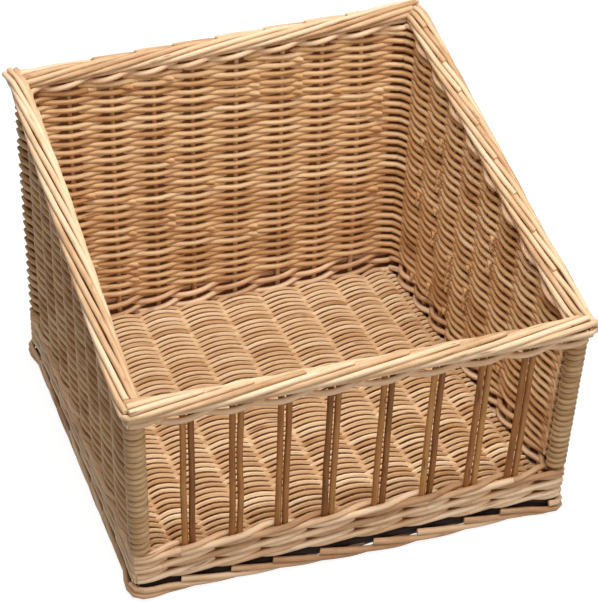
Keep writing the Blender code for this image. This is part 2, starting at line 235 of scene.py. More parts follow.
@dataclass(frozen=True)
class Willow:
    """Finish of one sort of willow rod, from its pale to its dark places."""

    name: str  # the material's name
    slot: str  # the record's material slot; not used
    dark: Tone  # colour of its darkest places
    body: Tone  # its usual colour
    pale: Tone  # colour of its palest places
    cut: Tone = Tone(236, 208, 160)  # colour of its cut ends
    spread: float = 0.55  # how much rods differ from each other
    mottle: float = 0.7  # how much one rod differs along its length
    stops: Three = (0.12, 0.5, 0.86)  # the shades at which it is dark, usual and pale
    # parts of the dark colour's red, green and blue in its blemishes, knots and pith
    browned: Three = (0.74, 0.62, 0.5)
    stain: float = 0.6  # how strong its blemishes are
    pith: Two = (0.0009, 0.0003)  # distances from a cut end's middle between which the pith fades in
    roughness: float = 0.46  # the least roughness of its skin
    rougher: Two = (0.14, 0.2)  # how much rougher it is where it is mottled, and where it is cut
    specular: float = 0.26  # the shader's specular level
    relief: float = 0.00035  # depth of the ridges

    def material(self) -> bpy.types.Material:
        """The rod's material, made on first use."""
        return bpy.data.materials.get(self.name) or self.make()

    def make(self) -> bpy.types.Material:
        """Builds the material: tints from rod to rod, long streaks, mottling, knots and cut ends.

        Returns:
            The new material.
        """
        graph = Graph(self.name)
        lay = graph.attribute("lay", "Vector")
        rod, cut = graph.attribute("rod", "Fac"), graph.attribute("cut", "Fac")
        streak, mottle, fibre = (graph.noise(lay, grain) for grain in (STREAKS, MOTTLING, FIBRES))
        shade = 0.5
        weights = (self.spread, self.mottle, STREAKS.strength, FIBRES.strength)
        for pattern, weight in zip((rod, mottle, streak, fibre), weights):
            shade = (pattern - 0.5) * weight + shade
        tones = (self.dark, self.body, self.pale)
        skin = graph.ramp(shade, [(stop, tone.linear()) for stop, tone in zip(self.stops, tones)])
        red, green, blue = self.browned
        brown = Tone(self.dark.red * red, self.dark.green * green, self.dark.blue * blue).linear()
        blemish = graph.between(graph.noise(lay, BLEMISHES), BLEMISHES.fade)
        skin = graph.mix(blemish * self.stain, skin, brown)
        where = {"Vector": graph.stretched(lay, KNOTS), "Scale": 1.0, "Randomness": 1.0}
        cells = graph.node("ShaderNodeTexVoronoi", {"feature": "F1"}, where)
        knot = 1 - graph.between(graph.output(cells, "Distance"), KNOTS.fade)
        skin = graph.mix(knot * KNOTS.strength, skin, brown)
        parts = graph.node("ShaderNodeSeparateXYZ", values={0: lay})
        width, height = graph.output(parts, 1), graph.output(parts, 2)
        out_from_pith = graph.maths("SQRT", width * width + height * height)
        wood = graph.mix(graph.between(out_from_pith, self.pith), self.cut.linear(), brown)
        wood = graph.mix(graph.between(streak, STREAKS.fade) * 0.35, wood, self.body.linear())
        ridges = streak * STREAKS.ridge + fibre * FIBRES.ridge + knot * KNOTS.ridge
        heights = {"Height": ridges, "Strength": 0.6, "Distance": self.relief}
        bump = graph.node("ShaderNodeBump", values=heights)
        shader = graph.node("ShaderNodeBsdfPrincipled", values={
            "Base Color": graph.mix(cut, skin, wood),
            "Roughness": self.roughness + mottle * self.rougher[0] + cut * self.rougher[1],
            "Normal": graph.output(bump),
            "Specular IOR Level": self.specular,
        })
        graph.node("ShaderNodeOutputMaterial", values={"Surface": graph.output(shader)})
        return graph.material


BORDER_WILLOW = Willow(
    "pale border willow", "border_willow", Tone(184, 140, 98), Tone(224, 187, 146), Tone(238, 210, 176)
)
SIDING_WILLOW = Willow(
    "siding willow", "siding_willow",
    Tone(174, 120, 72), Tone(216, 170, 119), Tone(236, 202, 157), spread=0.45,
)
FLOOR_WILLOW = Willow(
    "floor willow", "floor_willow",
    Tone(184, 138, 90), Tone(220, 182, 138), Tone(240, 212, 172), stain=0.5,
)
STICK_WILLOW = Willow(
    "floor stick willow", "stick_willow", Tone(120, 84, 48), Tone(168, 124, 78), Tone(200, 158, 108)
)
WALE_WILLOW = Willow(
    "waling willow", "wale_willow",
    Tone(180, 134, 94), Tone(226, 184, 142), Tone(246, 214, 178), spread=0.7,
)
FOOT_WILLOW = Willow(
    "foot border willow", "foot_willow",
    Tone(178, 130, 90), Tone(222, 180, 138), Tone(242, 210, 172), spread=0.7,
)
POST_WILLOW = Willow(
    "post willow", "post_willow", Tone(96, 66, 40), Tone(138, 100, 62), Tone(170, 130, 88)
)
# Painted shade: a dark copy of the willow, coloured as rods look in shade, for the strips that fill the
# weave's gaps and for the border's core
PAINTED_SHADE_WILLOW = Willow(
    "shaded willow", "siding_willow",
    Tone(108, 64, 36), Tone(136, 84, 48), Tone(158, 104, 62), spread=0.2,
)
# Painted shade: a near black copy of the willow, for the strips that fill the foot border's gaps with the
# colour of deep shade
PAINTED_DEEP_SHADE_WILLOW = Willow(
    "deeply shaded willow", "foot_willow",
    Tone(34, 20, 12), Tone(44, 27, 16), Tone(54, 34, 20), spread=0.2,
)
WRAP_WILLOW = Willow(
    "binding willow", "wrap_willow",
    Tone(118, 82, 50), Tone(178, 136, 92), Tone(222, 188, 144), spread=0.5,
)
BAR_WILLOW = Willow(
    "window bar willow", "bar_willow",
    Tone(116, 68, 30), Tone(164, 108, 56), Tone(200, 146, 86), stain=0.4,
)


# Rods


@functools.lru_cache(maxsize=None)
def straight_rod(stations: int, sides: int) -> tuple[bpy.types.Mesh, Array, Array]:
    """A straight rod of unit radius, cut across at each station, as a pattern for bent ones.

    Args:
        stations: how many rings of points it has.
        sides: how many points a ring has.

    Returns:
        Its mesh, and each point's station and angle.
    """
    bm = bmesh.new()
    length = stations - 1
    bmesh.ops.create_cone(bm, cap_ends=True, segments=sides, radius1=1, radius2=1, depth=length)
    if stations > 2:
        sides_of = [edge for edge in bm.edges if abs(edge.verts[0].co.z - edge.verts[1].co.z) > 0.5]
        bmesh.ops.subdivide_edges(bm, edges=sides_of, cuts=stations - 2)
    bmesh.ops.translate(bm, verts=bm.verts, vec=(0, 0, length / 2))
    mesh = bpy.data.meshes.new("straight_rod")
    bm.to_mesh(mesh)
    bm.free()
    places = np.empty(len(mesh.vertices) * 3)
    mesh.vertices.foreach_get("co", places)
    places = places.reshape(-1, 3)
    return mesh, np.rint(places[:, 2]).astype(int), np.arctan2(places[:, 1], places[:, 0])


def unit(vectors: Array) -> Array:
    """Vectors brought to length 1."""
    return vectors / np.maximum(np.linalg.norm(vectors, axis=1, keepdims=True), 1e-12)


class Drift:
    """Slow irregularity along a rod, the same on each run."""

    def __init__(self, random: np.random.Generator, waves: int = 4) -> None:
        """Draws the waves that it is made of.

        Args:
            random: the piece's run of random numbers.
            waves: how many waves there are.
        """
        self.pace = random.uniform(0.15, 0.9, waves)
        self.phase = random.uniform(0, math.tau, waves)
        self.size = random.uniform(0.4, 1.0, waves) / waves

    def at(self, steps: Array) -> Array:
        """The drift at each place, from about -1 to 1."""
        return (self.size * np.sin(np.outer(steps, self.pace) * math.tau + self.phase)).sum(axis=1)


@dataclass
class RodBundle:
    """The rods of one piece of the basket, laid one by one and then made into one mesh."""

    name: str  # the piece's name
    finish: Willow  # its willow
    sides: int  # how many sides a rod has
    seed: int  # where its irregularities start
    chamfer: float = 0.0004  # how far the rim of a cut end is eased
    courses: list = field(default_factory=list)
    random: np.random.Generator = None

    def __post_init__(self) -> None:
        """Starts the piece's own run of random numbers."""
        self.random = np.random.default_rng(self.seed)

    def lay(
        self,
        points: Array,
        radii: "Array | float",
        across: Array,
        press: Two = (1.0, 1.0),
        slant: Two = (0.0, 0.0),
    ) -> None:
        """Lays one rod.

        Args:
            points: its centre line.
            radii: its radius, at each point or all along.
            across: the direction that one side of the rod keeps to, at each point or all along.
            press: how far its section is stretched along that direction and across it.
            slant: how far its two ends are cut at a slope towards that direction.
        """
        radii = np.broadcast_to(radii, len(points)).astype(float)
        across = np.broadcast_to(across, points.shape)
        eased = np.array([[0.3], [1.0]]) * self.chamfer
        first = points[0] + unit(points[1:2] - points[:1]) * eased
        last = points[-1] + unit(points[-2:-1] - points[-1:]) * eased[::-1]
        course = np.concatenate([points[:1], first, points[1:-1], last, points[-1:]])
        less = np.array([1.0, 0.35]) * self.chamfer
        radii = np.concatenate([radii[:1] - less, radii, radii[-1:] - less[::-1]])
        across = np.concatenate([across[:1], across[:1], across, across[-1:], across[-1:]])
        self.courses.append((course, radii, across, press, slant, self.random.random(2)))

    def shaped(self, course: tuple) -> tuple[bpy.types.Mesh, Array, Array, Array, Array]:
        """One rod's pattern bent to its course.

        Args:
            course: what lay() kept of it.

        Returns:
            The pattern's mesh, and for each of its points the place, the place along and across the rod,
            the rod's tint and whether it is on a cut end.
        """
        points, radii, across, press, slant, chance = course
        mesh, station, angle = straight_rod(len(points), self.sides)
        way = unit(np.gradient(points, axis=0))
        side = unit(across - way * (across * way).sum(axis=1, keepdims=True))
        rise = np.cross(way, side)
        run = np.concatenate([[0], np.cumsum(np.linalg.norm(np.diff(points, axis=0), axis=1))])
        reach = radii[station] * np.cos(angle) * press[0]
        lift = radii[station] * np.sin(angle) * press[1]
        leaning = np.zeros(len(points))
        leaning[:2] = slant[0]
        leaning[-2:] = slant[1]
        places = (
            points[station]
            + side[station] * reach[:, None]
            + rise[station] * lift[:, None]
            + way[station] * (leaning[station] * reach)[:, None]
        )
        lay = np.stack([run[station] + chance[0] * 40, reach, lift], axis=1)
        cut = ((station == 0) | (station == len(points) - 1)).astype(float)
        return mesh, places, lay, np.full(len(places), chance[1]), cut

    def build(self) -> bpy.types.Object:
        """Makes the mesh of all the rods, with its finish.

        Returns:
            The object that holds the mesh.
        """
        bm = bmesh.new()
        parts = []
        for course in self.courses:
            mesh, *values = self.shaped(course)
            bm.from_mesh(mesh)
            parts.append(values)
        mesh = bpy.data.meshes.new(self.name)
        bm.to_mesh(mesh)
        bm.free()
        places, lay, rod, cut = (np.concatenate(values).astype(np.float32) for values in zip(*parts))
        mesh.vertices.foreach_set("co", places.ravel())
        for name, kind, key, values in (
            ("lay", "FLOAT_VECTOR", "vector", lay),
            ("rod", "FLOAT", "value", rod),
            ("cut", "FLOAT", "value", cut),
        ):
            mesh.attributes.new(name, kind, "POINT").data.foreach_set(key, values.ravel())
        mesh.update()
        mesh.shade_smooth()
        mesh.set_sharp_from_angle(angle=math.radians(55))
        mesh.materials.append(self.finish.material())
        obj = bpy.data.objects.new(self.name, mesh)
        bpy.context.scene.collection.objects.link(obj)
        return obj


def put(bundle: RodBundle, nodes: list[str]) -> None:
    """Makes a piece and stands it in for nodes of the frame.

    Args:
        bundle: the piece's rods.
        nodes: the nodes that it is shown for.
    """
    piece = bundle.build()
    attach(piece, BODY)
    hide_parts(*nodes)
    LOG.info("%s: %d rods, %d faces", piece.name, len(bundle.courses), len(piece.data.polygons))


# Layout


class Wall(Enum):
    """The walls in order round the basket, anticlockwise from the front."""

    FRONT = 0
    RIGHT = 1
    BACK = 2
    LEFT = 3


def nodes_of(stem: str, walls: "type[Wall] | list[Wall]" = Wall) -> list[str]:
    """The frame's nodes of one band of weaving on some of the walls."""
    return [f"{stem}_{wall.name.lower()}" for wall in walls]


WOVEN_WALLS = [Wall.RIGHT, Wall.BACK, Wall.LEFT]


@dataclass(frozen=True)
class Bend:
    """How a rod goes round the corner posts."""

    ease: float  # how many steps before and after a post the way out of the wall turns
    soften: float = 0.0  # how many steps before and after it the rod is rounded off over
    square: float = 0.0  # how square the corner is, from 0 for a round one to 1


WOVEN_BEND = Bend(0.22)
FOOT_BEND = Bend(0.3, 0.1)
RIM_BEND = Bend(0.25, 0.05, 1.0)

# Thickness of a strip of shade as a share of its height, and its height as it is given
STRIP = (0.12, 1.0)


@dataclass(frozen=True)
class BasketPlan:
    """Where the posts, the uprights and the rim are."""

    front_foot: Two = (0.2075, 0.2066)  # half width and depth of the front posts' centre lines on the ground
    front_top: Two = (0.2137, 0.2214)  # the same at mid height of the border
    back_foot: Two = (0.2050, 0.2074)  # half width and depth of the back posts' centre lines on the ground
    back_top: Two = (0.2091, 0.2022)  # the same at mid height of the border
    front_rim: float = 0.2227  # height of the border's centre line along the front
    back_rims: Two = (0.3347, 0.3487)  # the same at the back's left and right corners
    centre_shift: float = 0.00905  # how far the middle of the floor lies behind the origin
    level_run: float = 0.0139  # how far past each corner the rim stays level
    # places of each wall's uprights, as shares of its length
    shares: tuple = (
        (0.112, 0.221, 0.328, 0.439, 0.560, 0.676, 0.786, 0.888),
        (0.131, 0.248, 0.359, 0.468, 0.575, 0.680, 0.784, 0.893),
        (0.129, 0.234, 0.339, 0.460, 0.574, 0.674, 0.781, 0.888),
        (0.107, 0.216, 0.320, 0.425, 0.532, 0.641, 0.752, 0.869),
    )

    @functools.cached_property
    def gaps(self) -> int:
        """How many gaps a wall's uprights leave between its posts."""
        return len(self.shares[0]) + 1

    @functools.cached_property
    def round(self) -> int:
        """How many steps there are round the basket."""
        return self.gaps * len(self.shares)

    @functools.cached_property
    def posts(self) -> tuple[Array, Array]:
        """Where the corner posts stand.

        Returns:
            The posts' feet and their heads, in the walls' order from the front left.
        """
        rims = (self.front_rim, self.front_rim, *self.back_rims[::-1])
        ends = []
        for front, back, heights in (
            (self.front_foot, self.back_foot, (0, 0, 0, 0)), (self.front_top, self.back_top, rims)
        ):
            corners = zip((-1, 1, 1, -1), (-1, -1, 1, 1), (front, front, back, back), heights)
            ends.append([(x * half[0], y * half[1] + self.centre_shift, z) for x, y, half, z in corners])
        return np.array(ends[0]), np.array(ends[1])

    def walls_at(self, steps: Array) -> tuple[Array, Array]:
        """Finds the wall that each place is on.

        Args:
            steps: the places.

        Returns:
            Each place's wall, and the share of that wall's length before it.
        """
        starts = [wall + share for wall, row in enumerate(self.shares) for share in (0, *row)]
        knots = np.array([*starts, len(self.shares)])
        places = np.interp(np.asarray(steps, float) % self.round, np.arange(self.round + 1), knots)
        walls = np.minimum(places.astype(int), len(self.shares) - 1)
        return walls, places - walls

    def line(self, corner: Array, heights: Array) -> Array:
        """Points of the corners' centre lines.

        Args:
            corner: the corner of each point.
            heights: the height of each point.

        Returns:
            The points.
        """
        feet, heads = self.posts
        share = np.asarray(heights) / heads[corner, 2]
        return feet[corner] + (heads - feet)[corner] * share[:, None]

    def outward(self, steps: Array, ease: float) -> Array:
        """The direction out of the wall at each place.

        Args:
            steps: the places.
            ease: how many steps before and after a corner it turns.

        Returns:
            Unit vectors.
        """
        local = np.asarray(steps, float) % self.gaps
        wall = np.asarray(steps, float) % self.round // self.gaps
        turn = np.clip(1 - local / ease, 0, 1) - np.clip(1 - (self.gaps - local) / ease, 0, 1)
        angle = np.radians(90 * wall - 90 - 45 * turn)
        return np.stack([np.cos(angle), np.sin(angle), np.zeros(len(angle))], axis=1)

    def place(self, steps: Array, heights: Array, offsets: Array, bend: Bend = WOVEN_BEND) -> Array:
        """Points along the walls.

        Args:
            steps: how far round the basket each is.
            heights: how high each is, or all are.
            offsets: how far out from the wall's middle each is, or all are.
            bend: how they go round the corners.

        Returns:
            The points.
        """
        steps = np.asarray(steps, float)
        heights = np.broadcast_to(heights, steps.shape)
        offsets = np.broadcast_to(offsets, steps.shape)
        shifts = np.linspace(-bend.soften, bend.soften, 5) if bend.soften else (0.0,)
        total = np.zeros((len(steps), 3))
        for shift in shifts:
            walls, share = self.walls_at(steps + shift)
            start = self.line(walls, heights)
            end = self.line((walls + 1) % 4, heights)
            total += start + (end - start) * share[:, None]
            way = self.outward(steps + shift, bend.ease)
            spread = 1 + bend.square * (1 / np.abs(way[:, :2]).max(axis=1) - 1)
            total += way * (offsets * spread)[:, None]
        return total / len(shifts)

    def lay(
        self, bundle: RodBundle, course: tuple, radii: "Array | float", bend: Bend = WOVEN_BEND, **shape: Two
    ) -> None:
        """Lays a rod along the walls.

        Args:
            bundle: the piece that it belongs to.
            course: its steps, heights and offsets, as place() takes them.
            radii: its radius, at each point or all along.
            bend: how it goes round the corners.
            shape: its press and slant, as the bundle takes them.
        """
        bundle.lay(self.place(*course, bend), radii, self.outward(course[0], bend.ease), **shape)

    def straight(self, wall: int, steps: Array, heights: Array, offsets: Array) -> Array:
        """Points along one wall, carried straight on past its ends.

        Args:
            wall: the wall.
            steps: how far from the wall's first post each is, in its own steps.
            heights: how high each is.
            offsets: how far out from the wall's middle each is.

        Returns:
            The points.
        """
        knots = (0, *self.shares[wall], 1)
        share = np.interp(steps, np.arange(self.gaps + 1), knots)
        share += np.minimum(steps, 0) * knots[1] + np.maximum(steps - self.gaps, 0) * (1 - knots[-2])
        start = self.line(np.full(len(steps), wall), heights)
        end = self.line(np.full(len(steps), (wall + 1) % 4), heights)
        way = self.outward(np.array([(wall + 0.5) * self.gaps]), 0.1)
        return start + (end - start) * share[:, None] + way * offsets[:, None]

    def rim(self, steps: Array) -> Array:
        """Height of the border's centre line.

        Args:
            steps: the places.

        Returns:
            The height at each place.
        """
        walls, share = self.walls_at(steps)
        heads = self.posts[1]
        start, end = heads[walls], heads[(walls + 1) % 4]
        level = self.level_run / np.abs(end - start)[:, :2].max(axis=1)
        climbed = np.clip((share - level) / (1 - level * 2), 0, 1)
        return start[:, 2] + (end[:, 2] - start[:, 2]) * climbed

    def uprights(self, wall: Wall) -> Array:
        """The steps of a wall's uprights between its posts."""
        return np.arange(1, self.gaps) + wall.value * self.gaps

    def corners(self) -> Array:
        """The steps of the corner posts."""
        return np.arange(4) * self.gaps

    def near_corners(self, steps: Array, reach: float) -> Array:
        """How near each place is to a corner post.

        Args:
            steps: the places.
            reach: how many steps away the nearness starts.

        Returns:
            The nearness of each place, from 0 to 1 at the post itself.
        """
        local = np.asarray(steps, float) % self.gaps
        away = np.minimum(local, self.gaps - local)
        return 0.5 + 0.5 * np.cos(np.pi * np.clip(away / reach, 0, 1))

    def passing(self, steps: Array, rod: float, upright: float, post: float) -> Array:
        """How far a rod's centre line lies from that of an upright or a post that it passes.

        Args:
            steps: the places.
            rod: the rod's diameter.
            upright: radius that it leaves an upright.
            post: radius that it leaves a corner post.

        Returns:
            The distance at each place.
        """
        return upright + rod / 2 + (post - upright) * self.near_corners(steps, 0.7)


def spaced(start: float, end: float, per_step: int) -> Array:
    """Places from start to end, about so many to a step."""
    return np.linspace(start, end, max(3, round((end - start) * per_step) + 1))


# Sub-assemblies


@dataclass
class Piece:
    """A sub-assembly of the basket."""

    plan: BasketPlan  # the basket's layout


@dataclass
class FootBorder(Piece):
    """The border under the base: long rods that start by the waling, slope to the ground and turn under."""

    rod: float = 0.0064  # diameter of a rod at its start
    # how far out from the wall a rod lies, one upright after the other from its start
    offsets: tuple = (0.0062, 0.0080, 0.0066, -0.0020, -0.0092, -0.0112, -0.0106)
    heights: tuple = (0.0134, 0.0066, 0.0026, 0.0028, 0.0058, 0.0122, 0.0188)  # how high it lies there
    # its thickness there, as shares of that at its start
    sizes: tuple = (1.0, 0.98, 0.86, 0.80, 0.80, 0.80, 0.78)
    first: float = 0.84  # steps from an upright to the start of a rod
    # how far out it bulges at a corner, and how many steps away that starts
    corner_bulge: Two = (0.0056, 0.6)
    # how far out it bulges along the front, where most, and over how many steps
    front_bulge: Three = (0.0052, 5.2, 1.9)
    bulge_end: float = 2.6  # steps from its start after which a rod doesn't bulge
    shade_heights: Two = (0.0072, 0.0122)  # heights of the strips of shade behind the rods
    # how far out those bulge at a corner, and how many steps away that starts
    shade_bulge: Two = (0.0064, 0.7)
    shade_half: float = 0.0050  # half the height of a strip

    def build(self) -> None:
        """Lays the rods round all four sides, and the shade behind them."""
        plan = self.plan
        bundle = RodBundle("foot_border", FOOT_WILLOW, 12, 11, 0.0008)
        for index in range(plan.round):
            first = index + self.first + bundle.random.uniform(-0.07, 0.07)
            steps = spaced(first, first + (len(self.offsets) - 1), 8)
            drift = Drift(bundle.random).at(steps)
            size = bundle.random.uniform(0.92, 1.04)
            radii = self.rod / 2 * size * self.along(steps - first, self.sizes)
            offsets = self.along(steps - first, self.offsets) + drift * 0.0006
            offsets += self.bulge(steps) * np.clip(self.bulge_end - (steps - first), 0, 1)
            heights = self.along(steps - first, self.heights) + drift * 0.0005
            heights = np.maximum(heights, radii + 0.0001)
            plan.lay(bundle, (steps, heights, offsets), radii, FOOT_BEND, slant=(-0.3, 0.0))
        put(bundle, nodes_of("foot"))
        # Painted shade: two dark strips behind the rods, coloured as deep shade, fill the gaps between them
        shade = RodBundle("foot_painted_shade", PAINTED_DEEP_SHADE_WILLOW, 8, 13, 0.0001)
        steps = spaced(0, plan.round, 6)
        bulge = self.shade_bulge[0] * plan.near_corners(steps, self.shade_bulge[1])
        for height in self.shade_heights:
            plan.lay(shade, (steps, height, bulge), self.shade_half, FOOT_BEND, press=(0.16, 1.0))
        put(shade, nodes_of("foot"))

    def bulge(self, steps: Array) -> Array:
        """How far out the foot bulges.

        Args:
            steps: the places.

        Returns:
            The bulge at each place.
        """
        most, middle, width = self.front_bulge
        corners = self.corner_bulge[0] * self.plan.near_corners(steps, self.corner_bulge[1])
        return corners + most * np.exp(-(((steps - middle) / width) ** 2))

    def along(self, run: Array, knots: tuple) -> Array:
        """A size that goes smoothly from one upright's value to the next.

        Args:
            run: steps from the rod's start.
            knots: the value at its start and at each upright from there.

        Returns:
            The size at each place.
        """
        smooth = 0.4
        shifts = np.linspace(-smooth, smooth, 5)
        eased = sum(np.interp(run + shift, np.arange(len(knots)), knots) for shift in shifts) / 5
        joined = knots[0] * (1 - smooth) + knots[1] * smooth
        return np.where(run < smooth, np.interp(run, (0, smooth), (knots[0], joined)), eased)


@dataclass
class Waling(Piece):
    """Rounds of three stout rods, each passing outside two uprights and then inside one."""

    rod: float = 0.0062  # diameter of a rod
    pitch: float = 0.0124  # height of a round
    rounds: int = 3  # how many rounds there are
    bottom: float = 0.0173  # height at which the first round starts
    upright: float = 0.0027  # radius of an upright that the rods pass
    post: float = 0.0046  # radius of a corner post
    crossing: float = 0.9  # steps over which a rod crosses from one face to the other
    turns: tuple = (0, 0.2, 1.8, 2.1, 3)  # places in a rod's run of three steps, for the next size
    climbs: tuple = (0.0, 0.08, 1.0, 0.9, 0.0)  # how high in its round it lies there, from 0 to 1
    climb: float = 0.66  # how much of a round's height it climbs
    shift: float = 0.4  # steps from a round's start to that of the next

    def offsets(self, steps: Array, turn: Array) -> Array:
        """How far out a rod lies.

        Args:
            steps: the places.
            turn: how far each is in the rod's run, from 0 to 3.

        Returns:
            The offset of each place.
        """
        half = self.crossing / 2
        outwards = sum(np.clip((turn - place) / self.crossing, 0, 1) for place in (-half, 3 - half))
        inwards = np.clip((turn - (2 - half)) / self.crossing, 0, 1)
        side = np.sin(np.clip((outwards - inwards) * 2 - 1, -1, 1) * np.pi / 2)
        return self.plan.passing(steps, self.rod, self.upright, self.post) * side

    def lay_round(self, bundle: RodBundle, index: int) -> None:
        """Lays the three rods of one round, each in a few lengths.

        Args:
            bundle: the piece.
            index: which round it is, from 0 at the bottom.
        """
        start, end = index * self.shift, self.plan.round + index * self.shift
        for strand in range(3):
            breaks = [start]
            place = start + strand + 4.5 + bundle.random.uniform(0, 3)
            while place < end - 4:
                breaks.append(round(place - strand - index) + strand + index)
                place += bundle.random.uniform(8, 12)
            breaks.append(end)
            for low, high in zip(breaks, breaks[1:]):
                self.lay_length(bundle, index, strand, (low, high))

    def lay_length(self, bundle: RodBundle, index: int, strand: int, reach: Two) -> None:
        """Lays one length of rod.

        Args:
            bundle: the piece.
            index: which round it is in.
            strand: which of the round's three rods it is.
            reach: where it starts and ends.
        """
        middle = self.bottom + self.pitch * (index + 0.5)
        steps = spaced(reach[0], reach[1], 10)
        turn = (steps - (strand + index) - 0.5) % 3
        climb = np.interp(turn, self.turns, self.climbs)
        drift = Drift(bundle.random)
        heights = middle + self.pitch * 0.5 * (climb * 2 - 1) * self.climb + drift.at(steps) * 0.0004
        size = bundle.random.uniform(0.94, 1.06)
        radii = self.rod / 2 * size * (1 + 0.04 * drift.at(steps * 1.7))
        self.plan.lay(bundle, (steps, heights, self.offsets(steps, turn)), radii)

    def build(self) -> None:
        """Lays the rounds on every side, and the shade between them."""
        bundle = RodBundle("base_waling", WALE_WILLOW, 8, 23)
        for index in range(self.rounds):
            self.lay_round(bundle, index)
        put(bundle, nodes_of("wale"))
        # Painted shade: dark strips between the rounds, coloured as shade, fill the gaps between the rods
        shade = RodBundle("waling_painted_shade", PAINTED_SHADE_WILLOW, 8, 29, 0.0001)
        steps = spaced(0, self.plan.round, 2)
        for index in range(self.rounds * 2 - 1):
            height = self.bottom + self.pitch / 2 * (index + 0.5)
            self.plan.lay(shade, (steps, height, self.upright * 0.8), self.pitch * 0.27, press=STRIP)
        put(shade, nodes_of("wale"))


@dataclass
class Siding(Piece):
    """The woven walls: thin rods that pass the stakes in turn on each face."""

    rod: float = 0.0060  # diameter of a rod
    pitch: float = 0.0050  # height from row to row
    bottom: float = 0.0818  # height of the row that is counted as the first one
    below: int = 5  # how many rows lie under that one, down to the waling
    drop: float = 0.0152  # how far below the border's centre line the rows stop
    stake: float = 0.0009  # radius that the rods leave a stake
    post: float = 0.0053  # radius that they leave a corner post
    start: float = 0.16  # steps from a front post's centre line to the rows' ends
    sink: float = 0.065  # how much closer the rows lie at the back's right corner, as a share of their height
    early: float = 0.45  # steps by which a length starts before its join
    late: float = 0.55  # steps by which the length before it runs on past it
    tuck: float = 0.8  # how far inwards a length starts, as a share of its thickness
    # how far below the border's centre line more strips of shade lie
    shade_drops: tuple = (0.0120, 0.0160, 0.0200, 0.0240)

    def heights_of(self, row: int, steps: Array) -> Array:
        """How high a row lies at each place: rows are packed closer towards the back's right corner."""
        near = np.interp(steps, self.plan.corners() + self.plan.gaps, (0.4, 1.0, 0.0, 0.0))
        return self.bottom + row * self.pitch * (1 - self.sink * near)

    def reach_of(self, row: int) -> Two:
        """How far a row reaches, between the front posts or under the sloping rim.

        Args:
            row: the row's number, from the bottom.

        Returns:
            The places where it starts and where it ends.
        """
        first, last = self.plan.gaps + self.start, self.plan.round - self.start
        steps = np.linspace(first, last, 1601)
        under = steps[self.plan.rim(steps) - self.drop > self.heights_of(row, steps)]
        return (float(under[0]), float(under[-1])) if len(under) else (first, first)

    def breaks_of(self, bundle: RodBundle, row: int, first: float, last: float) -> list[float]:
        """Where the lengths of a row meet, each time on the inner face.

        Args:
            bundle: the piece.
            row: which row it is.
            first: where the row starts.
            last: where it ends.

        Returns:
            The places, with both ends.
        """
        breaks = [first]
        place = first + bundle.random.uniform(3, 9)
        while place < last - 3:
            join = round(place)
            join += (join + row) % 2
            if join % self.plan.gaps:
                breaks.append(join)
            place = join + bundle.random.uniform(7, 20)
        return [*breaks, last]

    def lay_row(self, bundle: RodBundle, row: int) -> None:
        """Lays one row of the weave, in a few lengths.

        Args:
            bundle: the piece.
            row: which row it is.
        """
        first, last = self.reach_of(row)
        if last - first < 1:
            return
        breaks = self.breaks_of(bundle, row, first, last)
        size = bundle.random.uniform(0.93, 1.05)
        drift = Drift(bundle.random)
        for index, (low, high) in enumerate(zip(breaks, breaks[1:])):
            joined, joins = index > 0, high != last
            steps = spaced(low - self.early * joined, high + self.late * joins, 6)
            side = np.cos(np.pi * (steps + row))
            out = self.plan.passing(steps, self.rod, self.stake, self.post)
            out = out * (1 + 0.05 * drift.at(steps * 2.3))
            offsets = out * (np.sign(side) * np.abs(side) ** 1.5)
            if joined:
                offsets = offsets - self.rod * self.tuck * np.clip(1 - (steps - steps[0]) / 0.8, 0, 1)
            heights = self.heights_of(row, steps) + 0.0004 * drift.at(steps)
            taper = (1.06, 0.92) if index % 2 else (0.94, 1.04)
            radii = self.rod / 2 * size * np.linspace(*taper, len(steps))
            slant = (0.9 * joined, -0.6 * joins)
            self.plan.lay(bundle, (steps, heights, offsets), radii, slant=slant)

    def build(self) -> None:
        """Lays every row from the waling to the rim, and the shade between the faces."""
        bundle = RodBundle("siding_weave", SIDING_WILLOW, 8, 37)
        # Painted shade: dark strips in the middle of the wall, one behind each row and more under the rim,
        # fill the weave's gaps with the colour of shade
        shade = RodBundle("siding_painted_shade", PAINTED_SHADE_WILLOW, 6, 39, 0.0001)
        top = max(self.plan.back_rims) - self.drop
        rows = int((top - self.bottom) / self.pitch / (1 - self.sink)) + 1
        for row in range(-self.below, rows):
            self.lay_row(bundle, row)
            first, last = self.reach_of(row)
            if last - first > 1:
                steps = spaced(first + 0.05, last - 0.05, 7)
                course = (steps, self.heights_of(row, steps), 0.0)
                self.plan.lay(shade, course, self.pitch * 0.55, press=STRIP)
        steps = spaced(self.plan.gaps + self.start, self.plan.round - self.start, 4)
        for under in self.shade_drops:
            self.plan.lay(shade, (steps, self.plan.rim(steps) - under, 0.0), 0.0025, press=STRIP)
        put(bundle, nodes_of("siding", WOVEN_WALLS))
        put(shade, nodes_of("siding", WOVEN_WALLS))


